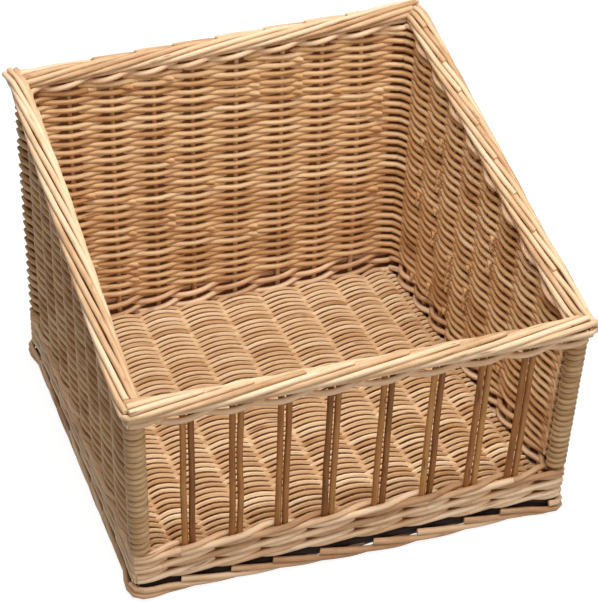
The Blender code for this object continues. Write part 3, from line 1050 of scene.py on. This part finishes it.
@dataclass
class Uprights(Piece):
    """The straight rods that the weaving is built on: posts, stakes and window bars."""

    foot: float = 0.0173  # height at which they start
    drop: float = 0.0101  # how far below the border's centre line the posts and bars stop
    post: float = 0.0104  # diameter of a corner post
    stake: float = 0.0055  # diameter of a stake
    bar: float = 0.0060  # diameter of a window bar
    apart: float = 0.0077  # distance between the centre lines of a pair of bars

    def stand(
        self, bundle: RodBundle, step: float, drop: float, size: float,
        sideways: float = 0.0, bow: float = 0.0,
    ) -> None:
        """Stands one upright in a wall.

        Args:
            bundle: the piece.
            step: its place.
            drop: how far below the border's centre line it stops.
            size: its diameter.
            sideways: how far along the wall it is shifted.
            bow: how far it bends off its line.
        """
        heights = np.linspace(self.foot, self.plan.rim(np.array([step]))[0] - drop, 15)
        steps = np.full(len(heights), float(step))
        points = self.plan.place(steps, heights, 0.0, Bend(1e-6))
        outward = self.plan.outward(steps, 1e-6)
        along = np.stack([-outward[:, 1], outward[:, 0], outward[:, 2]], axis=1)
        drift = Drift(bundle.random, 3)
        rise = np.linspace(0, 2, len(heights))
        pinned = np.sin(np.linspace(0, np.pi, len(heights)))[:, None]
        points = points + along * sideways
        points += (along * drift.at(rise)[:, None] + outward * drift.at(rise + 5)[:, None]) * bow * pinned
        bundle.lay(points, size / 2 * (1.03 - 0.05 * rise / 2 + 0.03 * drift.at(rise * 2)), outward)

    def build(self) -> None:
        """Stands the posts, the stakes and the bars."""
        posts = RodBundle("corner_posts", POST_WILLOW, 16, 41)
        for step in self.plan.corners():
            self.stand(posts, step, self.drop, self.post)
        put(posts, ["post_front_left", "post_front_right", "post_back_right", "post_back_left"])
        stakes = RodBundle("stakes", SIDING_WILLOW, 10, 43)
        for wall in WOVEN_WALLS:
            for step in self.plan.uprights(wall):
                self.stand(stakes, step, 0.0, self.stake, bow=0.0003)
        put(stakes, nodes_of("border", WOVEN_WALLS))
        bars = RodBundle("window_bars", BAR_WILLOW, 14, 47)
        names = []
        for index, step in enumerate(self.plan.uprights(Wall.FRONT), 1):
            for name, side in (("left", -1), ("right", 1)):
                self.stand(bars, step, self.drop, self.bar, side * self.apart / 2, 0.0009)
                names.append(f"bar_{index}_{name}")
        put(bars, names)


@dataclass
class PostBinding(Piece):
    """The close binding round each front post."""

    bottom: float = 0.0545  # height at which it starts
    drop: float = 0.0170  # how far below the border's centre line it stops
    turns: int = 23  # how many times it goes round
    radius: float = 0.0072  # radius of its centre line
    thickness: float = 0.0052  # how thick the binding willow is
    cover: float = 0.90  # its width, as a share of the space for a turn

    def build(self) -> None:
        """Winds the binding round both posts."""
        bundle = RodBundle("post_bindings", WRAP_WILLOW, 8, 53)
        height = self.plan.front_rim - self.drop - self.bottom
        width = height / self.turns / 2 * self.cover
        turn = np.linspace(0, self.turns, self.turns * 20 + 1)
        out = np.stack([np.cos(turn * math.tau), np.sin(turn * math.tau), np.zeros(len(turn))], axis=1)
        for corner in (0, 1):
            centre = self.plan.line(np.full(len(turn), corner), self.bottom + height * turn / self.turns)
            drift = Drift(bundle.random).at(turn)
            points = centre + out * (self.radius + 0.00025 * drift)[:, None]
            points[:, 2] += 0.0002 * Drift(bundle.random).at(turn * 1.7)
            bundle.lay(points, width, out, (self.thickness / 2 / width, 1.0))
        put(bundle, ["wrap_front_left", "wrap_front_right"])


@dataclass
class RimWaling(Piece):
    """The pair of rods that twists round the uprights just under the border."""

    rod: float = 0.0058  # diameter of a rod
    drop: float = 0.0110  # how far below the border's centre line its middle lies
    front_drop: float = 0.0166  # the same along the front
    front_steps: tuple = (0, 0.5, 8.5, 9.5, 35.5, 36)  # places round the basket, for the next size
    front_shares: tuple = (0.5, 1, 1, 0, 0, 0.5)  # how much of the front's drop it has there
    upright: float = 0.0036  # radius that the rods leave an upright
    post: float = 0.0052  # radius that they leave a corner post
    twist: float = 0.44  # how far the rods rise and fall as they twist, as a share of their thickness

    def build(self) -> None:
        """Lays the pair round all four sides."""
        bundle = RodBundle("rim_waling", WALE_WILLOW, 10, 61)
        for strand in (0, 1):
            steps = spaced(strand * 0.5, self.plan.round + strand * 0.5, 10)
            drift = Drift(bundle.random)
            out = self.plan.passing(steps, self.rod, self.upright, self.post)
            rise = self.rod * self.twist * np.sin(np.pi * (steps + strand)) + drift.at(steps) * 0.0004
            front = np.interp(steps % self.plan.round, self.front_steps, self.front_shares)
            heights = self.plan.rim(steps) - self.drop - (self.front_drop - self.drop) * front + rise
            course = (steps, heights, out * np.cos(np.pi * (steps + strand)))
            self.plan.lay(bundle, course, self.rod / 2)
        put(bundle, nodes_of("upper_wale"))


class Meeting(Enum):
    """How the border's rods of two sides meet at a corner, seen from the side that comes first.

    They stand in the corners' order. The value is how far the rods of the upper side are lifted.
    """

    UNDER_SHORT = 0.0010
    OVER_MITRE = 0.0022
    UNDER_MITRE = 0.0030
    UNDER_LONG = 0.0


CORNER_MEETINGS = tuple(Meeting)


class RodEnd(Enum):
    """How a border rod stops where the next one of its lane takes over.

    The value is how many steps later than there the next rod starts, and this one ends.
    """

    SHOWN_LAST = (-0.1, 0.0)
    SHOWN_FIRST = (0.0, 0.25)
    CORNER = (0.0, 0.0)


class End(NamedTuple):
    """A place where border rods take over from each other, and how."""

    place: float
    kind: RodEnd


@dataclass(frozen=True)
class Tip:
    """The shape of a border rod towards an end that shows."""

    thinning: float  # steps over which it thins
    lifting: float  # steps over which it lifts off the bundle
    lift: float  # how far it lifts, as a share of the ring
    slant: float  # how far its end is cut at a slope


BUTT = Tip(0.6, 0.7, 0.07, 0.3)
POINT = Tip(0.9, 0.6, 0.05, 0.5)
WALL_ENDS = (
    (Wall.FRONT, 105.0, RodEnd.SHOWN_LAST),
    (Wall.RIGHT, 98.0, RodEnd.SHOWN_FIRST),
    (Wall.BACK, 62.0, RodEnd.SHOWN_LAST),
    (Wall.LEFT, 290.0, RodEnd.SHOWN_FIRST),
)


@dataclass
class Border(Piece):
    """The rolled border along the rim: rods laid side by side that turn slowly round the bundle."""

    rod: float = 0.0056  # diameter of a rod
    reach: Two = (0.0090, 0.0069)  # half width and half height of the ring that the rods' centre lines lie on
    outwards: float = 0.0030  # how far its middle lies outside the posts' centre lines
    lanes: int = 8  # how many rods lie side by side round the bundle
    sunk: float = 0.45  # how deep the hidden end of a rod lies, as a share of the ring
    surfacing: float = 1.2  # steps over which it comes up
    # the angles between which a rod is cut off at a corner instead of turning round it
    cut_turns: Two = (12.0, 215.0)
    clear: float = 0.75  # steps next to such a corner in which no other rod ends
    # how far past the other side's rods a rod above them runs, and how much that varies
    above: Two = (0.0016, 0.0026)
    below: Two = (-0.0034, -0.0010)  # the same for one below them, less than zero where it stops short
    # the same past the ring where the upper rods run on long, and how far those below run past the post
    long: Three = (0.0018, 0.0018, 0.0012)
    # share of the ring at which outer rods stop where both sides stop short, how much that varies, and how
    # far past the post the inner rods run
    short: Three = (0.5, 0.0012, -0.0070)
    corner_run: float = 1.1  # steps from a corner over which the rods that meet there rise
    swell: Two = (0.08, 0.10)  # how much the ring and the rods grow there, as shares
    # how far the rods that start where the upper ones run on long swing out, and from how many steps away
    flare: Two = (0.0048, 3.2)
    # how far the outer rods stand out past the front right post, how many steps past, and over how many
    shoulder: Three = (0.0036, 0.7, 0.9)
    core_ring: Two = (0.40, 0.36)  # shares of the ring's half width and half height for the core's rods

    def turn_at(self, places: Array, chain: int) -> Array:
        """Degrees round the bundle of a chain of rods, at each place of its way."""
        return 360 / self.lanes * (np.asarray(places, float) - chain)

    def meeting_at(self, place: float) -> Meeting:
        """How the rods meet at the corner that is nearest to a place."""
        return CORNER_MEETINGS[round(place) // self.plan.gaps % 4]

    def ends_of(self, chain: int) -> list[End]:
        """Where the rods of a chain take over from each other, in order.

        Args:
            chain: which chain; each goes twice round the basket before it meets itself.

        Returns:
            The ends, in the order of their places.
        """
        gaps, whole = self.plan.gaps, self.plan.round * 2
        found = []
        for corner in range(0, whole, gaps):
            turn = self.turn_at(corner, chain) % 360
            if self.cut_turns[0] < turn < self.cut_turns[1]:
                found.append(End(float(corner), RodEnd.CORNER))
        corners = [end.place for end in found]
        for wall, turn, kind in WALL_ENDS:
            for place in np.arange(chain + turn * self.lanes / 360, whole, self.lanes):
                clear = all(abs(place - corner) > self.clear for corner in corners)
                if clear and int(place // gaps) % 4 == wall.value:
                    found.append(End(float(place), kind))
        return sorted(found, key=lambda end: end.place)

    def past_corner(self, corner: int, chain: int, leaving: bool, chance: float) -> float:
        """How many steps past a corner post's middle a cut rod runs on.

        Args:
            corner: the corner's place.
            chain: the rod's chain.
            leaving: whether the rod lies on the side after the corner.
            chance: a number from 0 to 1 that makes the ends uneven.

        Returns:
            The steps, less than zero where it stops short of it.
        """
        plan, meeting = self.plan, self.meeting_at(corner)
        offset = self.outwards + self.reach[0] * math.cos(math.radians(self.turn_at(corner, chain)))
        if meeting is Meeting.UNDER_LONG:
            least, more, under = self.long
            over = self.outwards + self.reach[0] + least + more * chance if leaving else under
        elif meeting is Meeting.UNDER_SHORT:
            share, less, under = self.short
            outer = self.outwards + self.reach[0] * share
            over = outer - less * chance if leaving or offset > outer else under
        else:
            least, more = self.above if leaving is (meeting is Meeting.UNDER_MITRE) else self.below
            over = offset + (least + more * chance)
        side = corner // plan.gaps % 4
        wall = side if leaving else (side - 1) % 4
        heads = plan.posts[1]
        length = np.linalg.norm((heads[(wall + 1) % 4] - heads[wall])[:2])
        first = plan.shares[wall][0] if leaving else 1 - plan.shares[wall][-1]
        return over / (length * first)

    def span_of(self, chain: int, start: End, end: End, chance: Array) -> Two:
        """Where a rod really starts and ends.

        Args:
            chain: the chain that it belongs to.
            start: its start.
            end: its end.
            chance: two numbers from 0 to 1 that make the ends uneven.

        Returns:
            Both places.
        """
        first, last = start.place, end.place
        if start.kind is RodEnd.CORNER:
            first -= self.past_corner(round(first), chain, True, chance[0])
        else:
            first += start.kind.value[0] + 0.1 * chance[0] - 0.05
        if end.kind is RodEnd.CORNER:
            last += self.past_corner(round(last), chain, False, chance[1])
        else:
            last += end.kind.value[1] + 0.1 * chance[1] - 0.05
        return first, last

    def lay_rod(self, bundle: RodBundle, chain: int, start: End, end: End) -> None:
        """Lays one rod from one end to the next.

        Args:
            bundle: the piece.
            chain: the chain that it belongs to.
            start: its start.
            end: its end.
        """
        plan = self.plan
        first, last = self.span_of(chain, start, end, bundle.random.uniform(0, 1, 2))
        if last - first < 0.4:
            return
        places = spaced(first, last, 10)
        drift = Drift(bundle.random)
        turn = np.radians(self.turn_at(places, chain) + drift.at(places) * 3)
        ring = 1 + 0.02 * drift.at(places * 1.3)
        size = np.full(len(places), bundle.random.uniform(0.94, 1.06))
        for away, kind, hidden, tip in (
            (places - first, start.kind, RodEnd.SHOWN_LAST, BUTT),
            (last - places, end.kind, RodEnd.SHOWN_FIRST, POINT),
        ):
            if kind is hidden:
                up = np.sin(np.clip(away / self.surfacing, 0, 1) * np.pi / 2)
                ring *= self.sunk + (1 - self.sunk) * up
            elif kind is not RodEnd.CORNER:
                size *= 0.86 + 0.14 * np.clip(away / tip.thinning, 0, 1)
                ring *= 1 + tip.lift * np.clip(1 - away / tip.lifting, 0, 1)
        heights = plan.rim(places % plan.round) + self.reach[1] * ring * np.sin(turn)
        if start.kind is RodEnd.CORNER and self.meeting_at(start.place) is not Meeting.OVER_MITRE:
            near = np.clip(1 - (places - start.place) / self.corner_run, 0, 1.2)
            ring *= 1 + self.swell[0] * near
            size *= 1 + self.swell[1] * near
            heights += self.meeting_at(start.place).value * near
        if end.kind is RodEnd.CORNER and self.meeting_at(end.place) is Meeting.OVER_MITRE:
            near = np.clip(1 - (end.place - places) / self.corner_run, 0, 1.2)
            heights += Meeting.OVER_MITRE.value * near
        offsets = self.outwards + self.reach[0] * ring * np.cos(turn)
        if start.kind is RodEnd.CORNER and self.meeting_at(start.place) is Meeting.UNDER_LONG:
            near = np.clip(1 - (places - start.place) / self.flare[1], 0, 1.2)
            offsets += self.flare[0] * near * (0.8 - 0.2 * np.cos(turn))
        most, middle, width = self.shoulder
        past = (places % plan.round - plan.gaps - middle) / width
        offsets += most * np.exp(-(past**2)) * np.maximum(np.cos(turn), 0)
        wall = int((start.place + end.place) / 2 // plan.gaps)
        one_wall = wall * plan.gaps <= start.place and end.place <= (wall + 1) * plan.gaps
        if one_wall and RodEnd.CORNER in (start.kind, end.kind):
            points = plan.straight(wall % 4, places - wall * plan.gaps, heights, offsets)
            outward = plan.outward(np.full(len(places), (wall + 0.5) * plan.gaps), 0.1)
        else:
            points = plan.place(places, heights, offsets, RIM_BEND)
            outward = plan.outward(places, RIM_BEND.ease)
        butt, point = start.kind is RodEnd.SHOWN_FIRST, end.kind is RodEnd.SHOWN_LAST
        bundle.lay(points, self.rod / 2 * size, outward, slant=(BUTT.slant * butt, POINT.slant * point))

    def build(self) -> None:
        """Lays the rods of every chain, round a core of the uprights' bent heads."""
        bundle = RodBundle("rim_border", BORDER_WILLOW, 12, 71, 0.0009)
        for chain in range(self.lanes // 2):
            ends = self.ends_of(chain)
            again = End(ends[0].place + self.plan.round * 2, ends[0].kind)
            for start, end in zip(ends, [*ends[1:], again]):
                self.lay_rod(bundle, chain, start, end)
        put(bundle, nodes_of("border"))
        # The core's rods stand for the uprights' real bent heads; their dark colour is painted shade, from
        # the painted shade willow
        core = RodBundle("border_core", PAINTED_SHADE_WILLOW, 8, 73)
        for strand in range(3):
            steps = spaced(strand * 0.3, self.plan.round + strand * 0.3, 6)
            angle = steps * 0.7 + strand * math.tau / 3
            heights = self.plan.rim(steps) + self.reach[1] * self.core_ring[1] * np.sin(angle)
            offsets = self.outwards + self.reach[0] * self.core_ring[0] * np.cos(angle)
            points = self.plan.place(steps, heights, offsets, RIM_BEND)
            core.lay(points, self.rod / 2 * 0.95, self.plan.outward(steps, 0.3))
        put(core, nodes_of("border"))


@dataclass
class Floor(Piece):
    """The floor: stout sticks from front to back, with thin rods woven across them."""

    # places of the sticks, as shares of the floor's width
    shares: tuple = (0.034, 0.105, 0.209, 0.314, 0.428, 0.547, 0.662, 0.770, 0.872, 0.956)
    middle: float = 0.0300  # height of the sticks' centre lines
    stick: float = 0.0070  # diameter of a stick
    rod: float = 0.0043  # diameter of a weaving rod
    pitch: float = 0.0041  # distance from one weaving rod to the next
    inset: float = 0.0045  # distance from the corners' middle to the floor's edge
    edge_steps: tuple = (0, 0.6, 10.4, 11)  # places across the floor, counted in sticks, for the next size
    edge_shares: tuple = (0.2, 1, 1, 0.2)  # how far a rod rises and sinks there, as shares of the usual way
    shade: float = 0.0005  # thickness of the shade between the faces

    def build(self) -> None:
        """Lays the sticks, weaves the mat and lays the shade in it."""
        half = self.plan.back_foot[0] - self.inset
        front = -self.plan.front_foot[1] + self.plan.centre_shift + self.inset
        back = self.plan.back_foot[1] + self.plan.centre_shift - self.inset
        upwards = np.array((0.0, 0.0, 1.0))
        sticks = RodBundle("floor_sticks", STICK_WILLOW, 12, 83)
        across = np.array([0, *self.shares, 1]) * 2 * half - half
        for place in across[1:-1]:
            sticks.lay(self.line_at(place, front, back, 12), self.stick / 2, upwards)
        put(sticks, [f"floor_stick_{index + 1}" for index in range(len(self.shares))])
        mat = RodBundle("floor_weave", FLOOR_WILLOW, 6, 89)
        count = round((back - front) / self.pitch)
        knots = np.arange(len(across))
        steps = spaced(0, len(across) - 1, 7)
        for row in range(count):
            drift = Drift(mat.random)
            side = np.cos(np.pi * (steps + row))
            size = (self.stick + self.rod) / 2 * np.interp(steps, self.edge_steps, self.edge_shares)
            depths = front + (row + 0.5) * (back - front) / count + 0.0004 * drift.at(steps)
            heights = self.middle + size * np.sign(side) * np.abs(side) ** 0.85
            points = np.stack([np.interp(steps, knots, across), depths, heights], axis=1)
            radii = self.rod / 2 * mat.random.uniform(0.9, 1.08) * (1 + 0.05 * drift.at(steps * 1.5))
            mat.lay(points, radii, upwards)
        put(mat, ["floor_mat"])
        # Painted shade: thin dark strips between the sticks, inside the mat, fill its gaps with the colour of
        # shade
        shade = RodBundle("floor_painted_shade", PAINTED_SHADE_WILLOW, 12, 91, 0.0001)
        gap = 0.001
        for left, right in zip(across, across[1:]):
            points = self.line_at((left + right) / 2, front + gap, back - gap, 3)
            shade.lay(points, (right - left) / 2 - gap, upwards, (self.shade / (right - left), 1.0))
        put(shade, ["floor_mat"])

    def line_at(self, place: float, front: float, back: float, count: int) -> Array:
        """Points of a straight line from front to back, at the sticks' height."""
        depths = np.linspace(front, back, count)
        return np.stack([np.full(count, place), depths, np.full(count, self.middle)], axis=1)


# Surroundings


@dataclass(frozen=True)
class Lamp:
    """A soft square lamp."""

    name: str  # its name
    place: Three  # where it hangs
    size: float  # length of its side
    power: float  # its power in watts
    aim: Three = (0.0, 0.0, 0.15)  # the point that it faces

    def build(self) -> None:
        """Hangs the lamp."""
        light = bpy.data.lights.new(self.name, "AREA")
        light.shape = "SQUARE"
        light.size = self.size
        light.energy = self.power
        obj = bpy.data.objects.new(self.name, light)
        obj.location = Vector(self.place)
        obj.rotation_euler = (Vector(self.place) - Vector(self.aim)).to_track_quat("Z", "Y").to_euler()
        bpy.context.scene.collection.objects.link(obj)


@dataclass(frozen=True)
class Studio:
    """A pale floor, soft light from above with a gentle fill from the front, and a plain white background."""

    ground: Tone = Tone(150, 148, 146)  # colour of the floor
    # light that the floor adds for the camera alone, to show white where it isn't shaded
    ground_glow: float = 0.86
    sky: float = 0.30  # strength of the light from all round
    # the lamp above and the lamp in front
    lamps: tuple[Lamp, Lamp] = (
        Lamp("lamp above", (-0.02, -0.30, 1.9), 0.9, 33.0),
        Lamp("lamp in front", (0.1, -1.9, 1.1), 1.2, 12.0),
    )

    def floor_material(self) -> bpy.types.Material:
        """The floor's material: dull, and white where the camera sees it in full light.

        Returns:
            The new material.
        """
        graph = Graph("studio floor")
        path = graph.node("ShaderNodeLightPath")
        seen = graph.output(path, "Is Camera Ray") + graph.output(path, "Is Glossy Ray")
        seen = graph.maths("MINIMUM", seen + graph.output(path, "Is Transmission Ray"), 1.0)
        cloth = graph.node("ShaderNodeBsdfDiffuse", values={"Color": self.ground.linear()})
        glow = graph.node("ShaderNodeEmission", values={"Strength": seen * self.ground_glow})
        both = graph.node("ShaderNodeAddShader", values={0: graph.output(cloth), 1: graph.output(glow)})
        graph.node("ShaderNodeOutputMaterial", values={"Surface": graph.output(both)})
        return graph.material

    def build(self) -> None:
        """Lays the floor, hangs the lamps and sets the background."""
        bm = bmesh.new()
        bmesh.ops.create_grid(bm, x_segments=1, y_segments=1, size=4)
        mesh = bpy.data.meshes.new("studio_floor")
        bm.to_mesh(mesh)
        bm.free()
        mesh.materials.append(self.floor_material())
        ground = bpy.data.objects.new("studio_floor", mesh)
        bpy.context.scene.collection.objects.link(ground)
        for lamp in self.lamps:
            lamp.build()
        world = bpy.data.worlds.new("studio")
        world.use_nodes = True
        tree = world.node_tree
        background = tree.nodes["Background"]
        background.inputs["Color"].default_value = (1, 1, 1, 1)
        path = tree.nodes.new("ShaderNodeLightPath")
        level = tree.nodes.new("ShaderNodeMapRange")
        level.inputs["To Min"].default_value = self.sky
        level.inputs["To Max"].default_value = 1.0
        tree.links.new(path.outputs["Is Camera Ray"], level.inputs["Value"])
        tree.links.new(level.outputs[0], background.inputs["Strength"])
        bpy.context.scene.world = world
        bpy.context.scene.view_settings.view_transform = "Standard"


@dataclass(frozen=True)
class Viewpoint:
    """The camera, where the photograph was taken from."""

    azimuth: float = -18.3803  # degrees round the basket from straight in front
    elevation: float = 33.0321  # degrees above the ground
    roll: float = 0.276  # degrees that the camera leans
    target: Three = (-0.0172126, 0.0509515, 0.1400874)  # the point that it faces
    distance: float = 2.1136  # how far away it is
    lens: float = 124.40  # its focal length in millimetres
    shift: Two = (0.07661, -0.01041)  # how far the picture is shifted, as shares of its longer side

    def build(self) -> None:
        """Sets up the camera."""
        across, up = math.radians(self.azimuth), math.radians(self.elevation)
        back = Vector((math.sin(across) * math.cos(up), -math.cos(across) * math.cos(up), math.sin(up)))
        right = (-back).cross(Vector((0, 0, 1))).normalized()
        top = back.cross(right)
        lean = math.radians(self.roll)
        side = right * math.cos(lean) + top * math.sin(lean)
        top = top * math.cos(lean) - right * math.sin(lean)
        data = bpy.data.cameras.new("camera")
        data.lens = self.lens
        data.sensor_width = 36.0
        data.shift_x, data.shift_y = self.shift
        camera = bpy.data.objects.new("camera", data)
        turned = Matrix((side, top, back)).transposed().to_4x4()
        camera.matrix_world = Matrix.Translation(Vector(self.target) + back * self.distance) @ turned
        bpy.context.scene.collection.objects.link(camera)
        bpy.context.scene.camera = camera


def main() -> None:
    """Builds the basket's pieces in order, then its surroundings."""
    logging.basicConfig(level=logging.INFO, format="%(name)s: %(message)s")
    plan = BasketPlan()
    pieces = [
        FootBorder(plan),
        Floor(plan),
        Waling(plan),
        Uprights(plan),
        Siding(plan),
        PostBinding(plan),
        RimWaling(plan),
        Border(plan),
    ]
    for piece in pieces:
        piece.build()
    Studio().build()
    Viewpoint().build()


if __name__ == "__main__":
    main()
